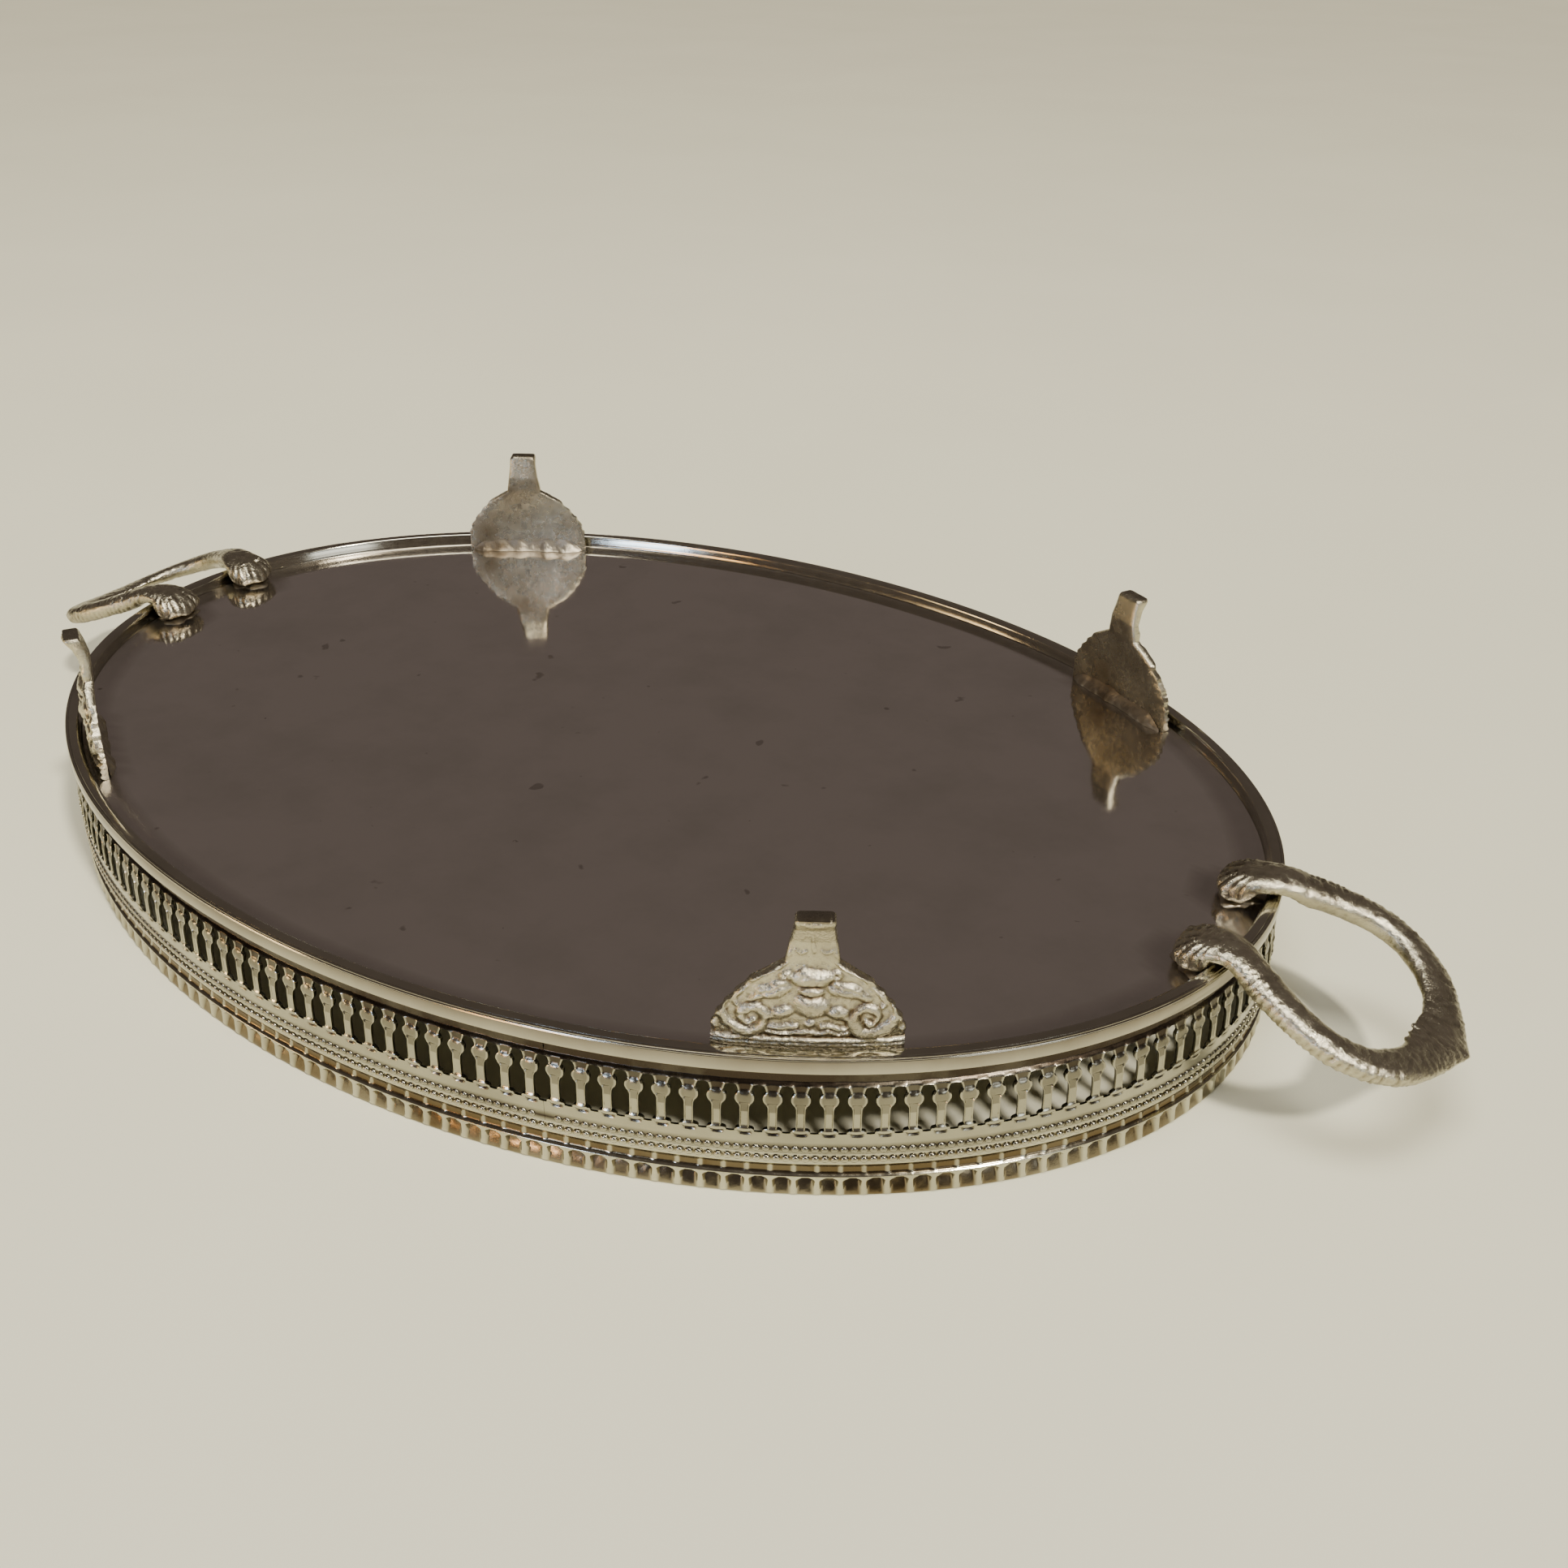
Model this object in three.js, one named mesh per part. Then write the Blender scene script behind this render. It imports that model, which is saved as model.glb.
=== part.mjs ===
// Oval gallery tray for a dressing table, in silver-plated brass, stored turned over: it lies on the lip of its
// gallery with the four feet in the air. Millimetres, +Z up, +X along the long axis, origin on the resting plane
// under the middle of the oval.
//
// Every wall follows the same oval, the edge of the tray's floor. A place on a wall is given by how far round the
// oval it is (0 to 1, from the +X end, anticlockwise), how far outside the oval (its offset), and its height.
import * as THREE from "three";
import { mergeVertices } from "three/addons/utils/BufferGeometryUtils.js";

// ---- driving dimensions ----
const GAP = 0.3; // between touching pieces

const HALF_LENGTH = 165; // of the floor's edge, without the handles
const HALF_WIDTH = 114.6;
const FLOOR_HEIGHT = 31; // of the face that the feet stand on
const SHEET = 0.9; // thickness of the pressed sheet

const RIM = { top: 34.5, outside: 0.7, inside: -2.9, corner: 0.6, band: 31 }; // a hollow ridge round the floor
const STRIP = { top: 33.3, bottom: 10.9, topOffset: -0.5, bottomOffset: 0.9 }; // the pierced gallery wall
const SLOT = { count: 164, sill: 15.9, lintel: 26.8, columnShare: 0.4 }; // its openings, one for each column
const SEAM_SLOT = 10; // the strips meet in the middle of this opening, and of the one opposite
const FIRST_SLOT = 0.7522; // how far round the oval opening number 0 is
const BORDER_SEGMENTS = 48; // for half of the oval
const PAN_SEGMENTS = 128; // for the whole oval

const FOOT = { height: 31.4, bend: 167 }; // bend is the radius that the plate follows
// Where each foot was soldered on by hand, measured along the long axis, and how far its top sways sideways.
const FOOT_PLACES = [
  { name: "front_right", x: 103.8, sideY: -1, sway: -1.2 },
  { name: "front_left", x: -114.6, sideY: -1, sway: 0 },
  { name: "back_left", x: -104.8, sideY: 1, sway: 0.4 },
  { name: "back_right", x: 104, sideY: 1, sway: 0 },
];
const HANDLE = { slope: THREE.MathUtils.degToRad(21), height: 36.4, stations: 50, sides: 8 };
const HANDLE_DRIFT = { right: -3, left: -1.2 }; // how far each handle was soldered from the long axis

// ---- materials ----
const polishedPlate = new THREE.MeshStandardMaterial({ color: 0xcfc8ba, metalness: 1, roughness: 0.12 });
const pressedPlate = new THREE.MeshStandardMaterial({ color: 0xcdc2a8, metalness: 1, roughness: 0.2 });
const castPlate = new THREE.MeshStandardMaterial({ color: 0xbdb298, metalness: 1, roughness: 0.34 });
const solderMetal = new THREE.MeshStandardMaterial({ color: 0xa9a18e, metalness: 1, roughness: 0.45 });

// ---- the oval ----
const oval = new THREE.EllipseCurve(0, 0, HALF_LENGTH, HALF_WIDTH);
oval.arcLengthDivisions = 1600;

// The outward direction at an angle of the ellipse.
function outwardAt(angle) {
  return new THREE.Vector2(Math.cos(angle) / HALF_LENGTH, Math.sin(angle) / HALF_WIDTH).normalize();
}

// A point `round` of the way round the oval, `offset` outside it, at height z.
function onOval(round, offset, z) {
  const turn = round - Math.floor(round);
  const angle = 2 * Math.PI * oval.getUtoTmapping(turn);
  const out = outwardAt(angle);
  return new THREE.Vector3(
    HALF_LENGTH * Math.cos(angle) + offset * out.x,
    HALF_WIDTH * Math.sin(angle) + offset * out.y,
    z,
  );
}

// ---- closed surfaces ----
// Collects triangles and makes one closed surface of them.
class Surface {
  constructor() {
    this.corners = [];
  }
  triangle(a, b, c) {
    for (const p of [a, b, c]) this.corners.push(p.x, p.y, p.z);
  }
  quad(a, b, c, d) {
    this.triangle(a, b, c);
    this.triangle(a, c, d);
  }
  // Skins a row of loops that all have the same number of points; each loop turns left round the way it moves.
  loft(loops) {
    for (let i = 0; i + 1 < loops.length; i++) this.band(loops[i], loops[i + 1]);
  }
  band(from, to) {
    from.forEach((p, k) => {
      const next = (k + 1) % from.length;
      this.quad(p, from[next], to[next], to[k]);
    });
  }
  // Closes a loop with a fan from its middle, seen anticlockwise from outside unless reversed.
  cap(loop, reversed = false) {
    const middle = loop.reduce((sum, p) => sum.add(p), new THREE.Vector3()).divideScalar(loop.length);
    loop.forEach((p, k) => {
      const next = loop[(k + 1) % loop.length];
      if (reversed) this.triangle(middle, next, p);
      else this.triangle(middle, p, next);
    });
  }
  geometry() {
    const made = new THREE.BufferGeometry();
    made.setAttribute("position", new THREE.Float32BufferAttribute(this.corners, 3));
    return mergeVertices(made, 1e-4);
  }
}

const tray = new THREE.Group();

function addPiece(name, geometry, material, parent = tray) {
  geometry.deleteAttribute("normal");
  geometry.deleteAttribute("uv");
  const piece = new THREE.Mesh(mergeVertices(geometry, 1e-4), material);
  piece.geometry.computeVertexNormals();
  piece.name = name;
  parent.add(piece);
  return piece;
}

// ---- floor pan: a flat sheet whose edge is folded up, over and down again into a hollow rim ----
function floorPan() {
  const bevel = RIM.corner;
  const section = [
    [RIM.inside, FLOOR_HEIGHT],
    [RIM.inside + bevel / 2, RIM.top - bevel / 2],
    [RIM.inside + 1.5 * bevel, RIM.top],
    [RIM.outside - bevel, RIM.top],
    [RIM.outside, RIM.top - bevel],
    [RIM.outside, RIM.band],
    [RIM.outside - SHEET, RIM.band],
    [RIM.outside - SHEET, RIM.top - SHEET],
    [RIM.inside + bevel / 2 + SHEET, RIM.top - SHEET],
    [RIM.inside + SHEET, FLOOR_HEIGHT - SHEET],
  ];
  const rings = section.map(([offset, z]) =>
    Array.from({ length: PAN_SEGMENTS }, (_, k) => onOval(k / PAN_SEGMENTS, offset, z)),
  );
  const pan = new Surface();
  pan.cap(rings[0]);
  for (let i = 0; i + 1 < rings.length; i++) pan.band(rings[i + 1], rings[i]);
  pan.cap(rings[rings.length - 1], true);
  return pan.geometry();
}

// ---- gallery strip: sheet pierced with a row of tall openings, and bent round half of the oval ----
function galleryStrip(firstSlot) {
  const slotsHere = SLOT.count / 2;
  const slotPitch = 1 / SLOT.count;
  const start = FIRST_SLOT + firstSlot * slotPitch;
  const jointHalf = GAP / 2 / oval.getLength();
  const columnHalf = (SLOT.columnShare / 2) * slotPitch;

  // How far round each upright edge is: the strip's end, both edges of each column, and the other end.
  const edges = [start + jointHalf];
  for (let i = 0; i < slotsHere; i++) {
    const middle = start + (i + 0.5) * slotPitch;
    edges.push(middle - columnHalf, middle + columnHalf);
  }
  edges.push(start + slotsHere * slotPitch - jointHalf);

  const offsetAt = (z) =>
    THREE.MathUtils.mapLinear(
      THREE.MathUtils.clamp(z, SLOT.sill, SLOT.lintel),
      SLOT.sill,
      SLOT.lintel,
      STRIP.bottomOffset,
      STRIP.topOffset,
    );
  const outer = (round, z) => onOval(round, offsetAt(z), z);
  const inner = (round, z) => onOval(round, offsetAt(z) - SHEET, z);

  const strip = new Surface();
  const panel = (a, b, low, high) => {
    strip.quad(outer(a, low), outer(b, low), outer(b, high), outer(a, high));
    strip.quad(inner(b, low), inner(a, low), inner(a, high), inner(b, high));
  };
  const faceUp = (a, b, z) => strip.quad(outer(a, z), outer(b, z), inner(b, z), inner(a, z));
  const faceDown = (a, b, z) => strip.quad(inner(a, z), inner(b, z), outer(b, z), outer(a, z));
  const endWall = (at, low, high, facesForward) => {
    const corners = [outer(at, low), outer(at, high), inner(at, high), inner(at, low)];
    strip.quad(...(facesForward ? corners.reverse() : corners));
  };

  for (let i = 0; i + 1 < edges.length; i++) {
    const [a, b] = [edges[i], edges[i + 1]];
    panel(a, b, STRIP.bottom, SLOT.sill);
    panel(a, b, SLOT.lintel, STRIP.top);
    faceUp(a, b, STRIP.top);
    faceDown(a, b, STRIP.bottom);
    const isColumn = i % 2 === 1;
    if (isColumn) {
      panel(a, b, SLOT.sill, SLOT.lintel);
      endWall(a, SLOT.sill, SLOT.lintel, false);
      endWall(b, SLOT.sill, SLOT.lintel, true);
    } else {
      faceUp(a, b, SLOT.sill);
      faceDown(a, b, SLOT.lintel);
    }
  }
  const [first, last] = [edges[0], edges[edges.length - 1]];
  for (const [low, high] of [[STRIP.bottom, SLOT.sill], [SLOT.lintel, STRIP.top]]) {
    endWall(first, low, high, false);
    endWall(last, low, high, true);
  }
  return strip.geometry();
}

// ---- border mount: a hollow moulding soldered to the gallery's lip, in two lengths that meet at the handles ----
function borderMount(startRound) {
  const seat = STRIP.bottom - GAP;
  const section = [
    [-0.2, 0], // the lip that the tray lies on
    [1.2, 0],
    [1.6, 0.6],
    [1.3, 4.4],
    [0.6, 5.2],
    [0.6, 7.8],
    [1.45, 8.8],
    [1.45, 10.2],
    [1.1, seat],
    [0, seat],
    [0, 5.2],
    [-0.6, 1],
  ];
  const jointHalf = GAP / 2 / oval.getLength();
  const loops = [];
  for (let k = 0; k <= BORDER_SEGMENTS; k++) {
    const share = k / BORDER_SEGMENTS / 2;
    const round = startRound + THREE.MathUtils.clamp(share, jointHalf, 0.5 - jointHalf);
    loops.push(section.map(([offset, z]) => onOval(round, offset, z)));
  }
  const border = new Surface();
  for (let i = 0; i + 1 < loops.length; i++) border.band(loops[i + 1], loops[i]);
  border.cap(loops[0]);
  border.cap(loops[loops.length - 1], true);
  return border.geometry();
}

// ---- cast foot: a shield-shaped plate with a narrow neck, bent to follow the oval ----
// Each row: height above the floor, half width, how far the plate's middle lies inside the oval, and thickness.
const FOOT_ROWS = [
  { z: GAP, half: 18.6, inside: 5.7, thick: 2.4 },
  { z: 6.5, half: 18.4, inside: 5.9, thick: 2.4 },
  { z: 9.5, half: 17, inside: 6.1, thick: 2.4 },
  { z: 12.5, half: 14.8, inside: 6.4, thick: 2.4 },
  { z: 15.5, half: 12.2, inside: 6.8, thick: 2.5 },
  { z: 17.5, half: 10, inside: 7.1, thick: 2.6 },
  { z: 19, half: 7, inside: 7.4, thick: 2.7 },
  { z: 20.6, half: 5.2, inside: 7.7, thick: 2.8 },
  { z: 25, half: 4.4, inside: 8, thick: 3 },
  { z: 28.5, half: 3.9, inside: 7, thick: 3.2 },
  { z: FOOT.height, half: 3.8, inside: 5.8, thick: 3.2 },
];
const RELIEF = { below: 17, depth: 1.3, share: 0.62 }; // the raised ornament on the outer face

// A point of a foot: along it, `inside` the oval at its middle, and z above the floor.
function footPoint(along, inside, z, sway = 0) {
  return new THREE.Vector3(along + (sway * z) / FOOT.height, -inside - along ** 2 / (2 * FOOT.bend), z);
}

function castFoot(sway) {
  const shares = [-1, -RELIEF.share, 0, RELIEF.share, 1];
  const loops = FOOT_ROWS.map(({ z, half, inside, thick }) => {
    const face = (share, inwards) => {
      const raised = Math.abs(share) < 1 && z > GAP && z < RELIEF.below ? RELIEF.depth : 0;
      const depth = inwards ? thick / 2 : -thick / 2 - raised;
      return footPoint(share * half, inside + depth, z, sway);
    };
    return [...shares.map((share) => face(share, true)), ...shares.map((share) => face(-share, false))];
  });
  const foot = new Surface();
  foot.loft(loops);
  foot.cap(loops[0], true);
  foot.cap(loops[loops.length - 1]);
  return foot.geometry();
}

// The fillet of solder in the corner between the floor and the inner face of a foot.
const FILLET = { size: 2.4, halfLength: 16.5, steps: 8 };

function footSolder() {
  const start = FOOT_ROWS[0].inside + FOOT_ROWS[0].thick / 2 + 2 * GAP;
  const wedge = [[0, 0], [0, 1], [0.35, 0.35], [1, 0]];
  const loops = [];
  for (let k = 0; k <= FILLET.steps; k++) {
    const along = THREE.MathUtils.lerp(-FILLET.halfLength, FILLET.halfLength, k / FILLET.steps);
    loops.push(wedge.map(([out, up]) => footPoint(along, start + FILLET.size * out, GAP + FILLET.size * up)));
  }
  const fillet = new Surface();
  fillet.loft(loops);
  fillet.cap(loops[0], true);
  fillet.cap(loops[loops.length - 1]);
  return fillet.geometry();
}

function addFoot({ name, x, sideY, sway }) {
  const place = new THREE.Group();
  const angle = sideY * Math.acos(x / HALF_LENGTH);
  const out = outwardAt(angle);
  place.position.set(x, HALF_WIDTH * Math.sin(angle), FLOOR_HEIGHT);
  place.rotation.z = Math.atan2(out.y, out.x) - Math.PI / 2; // local +Y faces outwards
  addPiece("foot_" + name, castFoot(sway), castPlate, place);
  addPiece("foot_solder_" + name, footSolder(), solderMetal, place);
  tray.add(place);
}

// ---- cast handle: a loop whose two shell-shaped ends lie on the floor, with a pointed leaf at its far end ----
// Each station of half of the loop: distance beyond the oval's end (down the slope once past it), distance to the
// side, height above the floor where the loop lies over it, half width and half thickness.
const SHELL_REST = 1; // under the shells, filled by the solder
const HANDLE_STATIONS = [
  { out: -14.2, side: 14.5, rest: SHELL_REST + 0.9, half: 3.2, thick: 0.9 },
  { out: -12.4, side: 14.5, rest: SHELL_REST + 2.2, half: 5.8, thick: 2.2 },
  { out: -8.6, side: 14.5, rest: SHELL_REST + 3.3, half: 6.5, thick: 3.3 },
  { out: -4.6, side: 14.9, rest: 6, half: 5.5, thick: 2.2 },
  { out: 0.4, side: 16.6, rest: 5.7, half: 4.4, thick: 2.1 },
  { out: 5, side: 18.6, half: 4.2, thick: 2.6 },
  { out: 10, side: 20.9, half: 4, thick: 2.6 },
  { out: 16, side: 22.9, half: 3.7, thick: 2.6 },
  { out: 22.4, side: 23.7, half: 3.6, thick: 2.6 },
  { out: 28.4, side: 22.3, half: 3.7, thick: 2.5 },
  { out: 34, side: 18.4, half: 4, thick: 2.4 },
  { out: 38.6, side: 12.4, half: 4.5, thick: 2.1 },
  { out: 41.2, side: 6, half: 5.3, thick: 1.8 },
];
const LEAF_TIP = { out: 41.9, side: 0, half: 6.2, thick: 1.6 };

function stationPoint({ out, side, rest }, sideSign) {
  if (rest !== undefined) return new THREE.Vector3(HALF_LENGTH + out, sideSign * side, FLOOR_HEIGHT + rest);
  return new THREE.Vector3(
    HALF_LENGTH + out * Math.cos(HANDLE.slope),
    sideSign * side,
    HANDLE.height - out * Math.sin(HANDLE.slope),
  );
}

function castHandle() {
  const stations = [
    ...HANDLE_STATIONS.map((s) => ({ ...s, sign: 1 })),
    { ...LEAF_TIP, sign: 1 },
    ...HANDLE_STATIONS.map((s) => ({ ...s, sign: -1 })).reverse(),
  ];
  const path = new THREE.CatmullRomCurve3(stations.map((s) => stationPoint(s, s.sign)));
  const sizes = new THREE.CatmullRomCurve3(stations.map((s) => new THREE.Vector3(s.half, s.thick, 0)));
  const slopeUp = new THREE.Vector3(Math.sin(HANDLE.slope), 0, Math.cos(HANDLE.slope));
  const flatUp = new THREE.Vector3(0, 0, 1);
  const loops = [];
  for (let i = 0; i <= HANDLE.stations; i++) {
    const t = i / HANDLE.stations;
    const centre = path.getPoint(t);
    const size = sizes.getPoint(t);
    const along = path.getTangent(t);
    const beyond = THREE.MathUtils.smoothstep(centre.x, HALF_LENGTH - 6, HALF_LENGTH + 4);
    const up = flatUp.clone().lerp(slopeUp, beyond);
    const across = new THREE.Vector3().crossVectors(along, up).normalize();
    up.crossVectors(across, along);
    const loop = [];
    for (let k = 0; k < HANDLE.sides; k++) {
      const turn = (2 * Math.PI * k) / HANDLE.sides;
      const point = centre.clone();
      point.addScaledVector(across, size.x * Math.cos(turn));
      point.addScaledVector(up, size.y * Math.sin(turn));
      loop.push(point);
    }
    loops.push(loop);
  }
  const handle = new Surface();
  for (let i = 0; i + 1 < loops.length; i++) handle.band(loops[i + 1], loops[i]);
  handle.cap(loops[0], false);
  handle.cap(loops[loops.length - 1], true);
  return handle.geometry();
}

// The thin pad of solder under one shell end.
function handleSolder(sideSign) {
  const outline = new THREE.Shape();
  outline.absellipse(HALF_LENGTH - 10.2, sideSign * 14.5, 3.8, 4.6, 0, 2 * Math.PI);
  const thickness = SHELL_REST - 2 * GAP;
  const pad = new THREE.ExtrudeGeometry(outline, { depth: thickness, bevelEnabled: false, curveSegments: 8 });
  pad.translate(0, 0, FLOOR_HEIGHT + GAP);
  return pad;
}

function addHandle(name, turn, drift) {
  const place = new THREE.Group();
  place.rotation.z = turn;
  const loop = new THREE.Group();
  loop.position.y = drift;
  addPiece("handle_" + name, castHandle(), castPlate, loop);
  addPiece("handle_solder_" + name + "_a", handleSolder(-1), solderMetal, loop);
  addPiece("handle_solder_" + name + "_b", handleSolder(1), solderMetal, loop);
  place.add(loop);
  tray.add(place);
}

// ---- the tray ----
addPiece("floor_pan", floorPan(), polishedPlate);
addPiece("gallery_strip_right", galleryStrip(SEAM_SLOT), pressedPlate);
addPiece("gallery_strip_left", galleryStrip(SEAM_SLOT + SLOT.count / 2), pressedPlate);
addPiece("border_back", borderMount(0), pressedPlate);
addPiece("border_front", borderMount(0.5), pressedPlate);
FOOT_PLACES.forEach(addFoot);
addHandle("right", 0, HANDLE_DRIFT.right);
addHandle("left", Math.PI, HANDLE_DRIFT.left);

export default tray;
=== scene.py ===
"""An oval silver-plated vanity tray with a pierced gallery, seen upside down: it lies on its gallery border,
with its polished underside, four cast feet and two cast handles on top. Lengths below are millimetres."""

import math

import bpy
import numpy as np
from mathutils import Matrix, Vector


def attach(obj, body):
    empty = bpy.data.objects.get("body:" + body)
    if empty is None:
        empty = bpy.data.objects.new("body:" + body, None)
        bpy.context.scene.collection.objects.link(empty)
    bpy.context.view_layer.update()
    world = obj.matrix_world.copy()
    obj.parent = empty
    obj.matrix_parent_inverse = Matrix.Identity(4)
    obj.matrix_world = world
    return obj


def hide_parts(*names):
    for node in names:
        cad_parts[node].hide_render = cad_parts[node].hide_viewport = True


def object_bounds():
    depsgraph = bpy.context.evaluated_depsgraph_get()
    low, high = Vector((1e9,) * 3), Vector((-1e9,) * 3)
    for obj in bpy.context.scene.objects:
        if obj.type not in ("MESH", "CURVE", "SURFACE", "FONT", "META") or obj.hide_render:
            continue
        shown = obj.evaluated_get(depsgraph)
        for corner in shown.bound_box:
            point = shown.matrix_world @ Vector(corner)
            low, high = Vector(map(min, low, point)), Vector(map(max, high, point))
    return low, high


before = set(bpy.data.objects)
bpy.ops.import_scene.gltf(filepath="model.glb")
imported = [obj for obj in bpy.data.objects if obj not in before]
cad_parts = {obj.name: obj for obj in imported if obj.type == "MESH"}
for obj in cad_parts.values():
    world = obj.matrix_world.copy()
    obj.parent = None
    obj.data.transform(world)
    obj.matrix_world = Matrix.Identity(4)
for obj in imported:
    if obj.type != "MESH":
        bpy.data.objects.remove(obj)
cad_low, cad_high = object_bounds()

MM = 0.001

# ---- driving sizes ----
HALF_LENGTH = 165.0  # of the oval that the gallery stands on
HALF_WIDTH = 114.6
FLOOR_HEIGHT = 31.0
SEAM_GAP = 0.3  # between the two halves of the border

SLOT_COUNT = 164
FIRST_SLOT = 0.7522  # share of the way round, anticlockwise from +X
SEAM_SLOT = 10  # the opening in whose middle the strip's two halves meet; the other one is opposite
FLUTE_COUNT = 192
BEAD_COUNT = 466

HANDLE_SLOPE = math.radians(21)
HANDLE_HEIGHT = 36.4
HANDLE_DRIFT = {"right": -3.0, "left": -1.2}  # how far each handle was soldered off the middle of its end


# ---- curves and noise ----
_oval_angle = np.linspace(0, 2 * math.pi, 40001)
_oval_step = np.hypot(
    np.diff(HALF_LENGTH * np.cos(_oval_angle)), np.diff(HALF_WIDTH * np.sin(_oval_angle))
)
_oval_travel = np.concatenate([[0], np.cumsum(_oval_step)])
OVAL_LENGTH = _oval_travel[-1]
SLOT_PITCH = OVAL_LENGTH / SLOT_COUNT
BEAD_PITCH = OVAL_LENGTH / BEAD_COUNT


def oval_frame(travel):
    """Point and outward direction of the oval, `travel` mm anticlockwise from +X."""
    angle = np.interp(np.mod(travel, OVAL_LENGTH), _oval_travel, _oval_angle)
    point = np.stack([HALF_LENGTH * np.cos(angle), HALF_WIDTH * np.sin(angle)], -1)
    outward = np.stack([np.cos(angle) / HALF_LENGTH, np.sin(angle) / HALF_WIDTH], -1)
    outward /= np.linalg.norm(outward, axis=-1, keepdims=True)
    return point, outward


def on_oval(travel, offset, height):
    """Points `offset` mm outside the oval, at each travel and height."""
    travel, offset, height = np.broadcast_arrays(travel, offset, height)
    point, outward = oval_frame(travel)
    flat = point + outward * offset[..., None]
    return np.concatenate([flat, height[..., None]], -1)


def smooth_step(low, high, value):
    """0 before `low`, 1 after `high` and a smooth rise between them; `low` may be the larger one."""
    share = np.clip((value - low) / (high - low), 0, 1)
    return share * share * (3 - 2 * share)


def hashed(cell, seed):
    """A fixed number from 0 to 1 for each whole-numbered cell. The factors are arbitrary."""
    mixed = cell[..., 0] * 127.1 + cell[..., 1] * 311.7 + cell[..., 2] * 74.7 + seed * 53.3
    return np.mod(np.sin(mixed) * 43758.5453, 1)


def lumps(points, size, seed):
    """Smooth noise from -1 to 1 that varies over about `size` mm."""
    scaled = points / size
    cell = np.floor(scaled)
    share = scaled - cell
    share = share * share * (3 - 2 * share)
    total = 0
    for corner in np.ndindex(2, 2, 2):
        weight = np.prod(np.where(corner, share, 1 - share), axis=-1)
        total = total + weight * hashed(cell + corner, seed)
    return 2 * total - 1


def catmull(stations, steps):
    """A smooth curve through the stations, with `steps` points for each gap between them."""
    stations = np.asarray(stations, float)
    padded = np.concatenate(
        [[2 * stations[0] - stations[1]], stations, [2 * stations[-1] - stations[-2]]]
    )
    share = (np.arange(steps) / steps)[:, None]
    curve = []
    for p0, p1, p2, p3 in zip(padded, padded[1:], padded[2:], padded[3:]):
        curve.append(
            0.5 * (2 * p1 + (p2 - p0) * share + (2 * p0 - 5 * p1 + 4 * p2 - p3) * share**2
                   + (3 * p1 - p0 - 3 * p2 + p3) * share**3)
        )
    return np.concatenate([*curve, stations[-1:]])


# ---- relief ----
def mound(s, z, centre, radii, height, tilt=0.0):
    """A rounded hill on a surface, at `centre`, turned by `tilt` degrees."""
    cos, sin = math.cos(math.radians(tilt)), math.sin(math.radians(tilt))
    ds, dz = s - centre[0], z - centre[1]
    reach = ((ds * cos + dz * sin) / radii[0]) ** 2 + ((dz * cos - ds * sin) / radii[1]) ** 2
    return height * np.clip(1 - reach, 0, None) ** 0.75


def ridge(s, z, stations, widths, height, steps=14):
    """A rounded ridge that follows a curve through the stations."""
    path = catmull(stations, steps)
    half = np.interp(np.linspace(0, 1, len(path)), np.linspace(0, 1, len(widths)), widths)
    found = np.zeros(np.broadcast(s, z).shape)
    for (path_s, path_z), width in zip(path, half):
        reach = ((s - path_s) ** 2 + (z - path_z) ** 2) / width**2
        found = np.maximum(found, np.clip(1 - reach, 0, None) ** 0.5)
    return height * found


def hollow_share(relief, reach, depth):
    """0 to 1: how far each point of a relief grid lies below its surroundings."""
    blurred = relief
    for _ in range(reach):
        blurred = np.pad(blurred, 1, mode="edge")
        blurred = (blurred[:-2, 1:-1] + blurred[2:, 1:-1] + blurred[1:-1, :-2] + blurred[1:-1, 2:]) / 4
    return np.clip((blurred - relief) / depth, 0, 1)


# ---- meshes ----
def closed_tube(rings, middles):
    """Points, quads and triangles of a tube through a grid of rings. Its first and last ring are closed by
    fans of triangles round the two points in `middles`."""
    rows, columns = rings.shape[:2]
    points = np.concatenate([rings.reshape(-1, 3), middles])
    row = np.arange(rows - 1)[:, None]
    first = np.arange(columns)
    second = (first + 1) % columns
    low, high = row * columns, (row + 1) * columns
    faces = np.stack([low + first, low + second, high + second, high + first], -1).reshape(-1, 4)
    last = (rows - 1) * columns
    middle = np.full(columns, rows * columns)
    caps = np.concatenate([
        np.stack([second, first, middle], -1),
        np.stack([last + first, last + second, middle + 1], -1),
    ])
    return points, faces, caps


def plate(outer, inner, kept=None):
    """A sheet of metal between two grids of points, closed along its edges and round each hole.
    Its rows go up and its columns go anticlockwise. `kept` says which quads of the grid are metal."""
    rows, columns = outer.shape[0] - 1, outer.shape[1] - 1
    if kept is None:
        kept = np.ones((rows, columns), bool)
    count = (rows + 1) * (columns + 1)
    number = np.arange(count).reshape(rows + 1, columns + 1)
    corners = [number[:-1, :-1], number[:-1, 1:], number[1:, 1:], number[1:, :-1]]
    front = np.stack(corners, -1)[kept]
    faces = [front, front[:, ::-1] + count]
    around = np.pad(kept, 1)
    neighbours = [around[:-2, 1:-1], around[1:-1, 2:], around[2:, 1:-1], around[1:-1, :-2]]
    for side, neighbour in enumerate(neighbours):
        edge = kept & ~neighbour
        start, end = corners[side][edge], corners[(side + 1) % 4][edge]
        faces.append(np.stack([end, start, start + count, end + count], -1))
    faces = np.concatenate(faces)
    points = np.concatenate([outer.reshape(-1, 3), inner.reshape(-1, 3)])
    return points, faces


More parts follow.
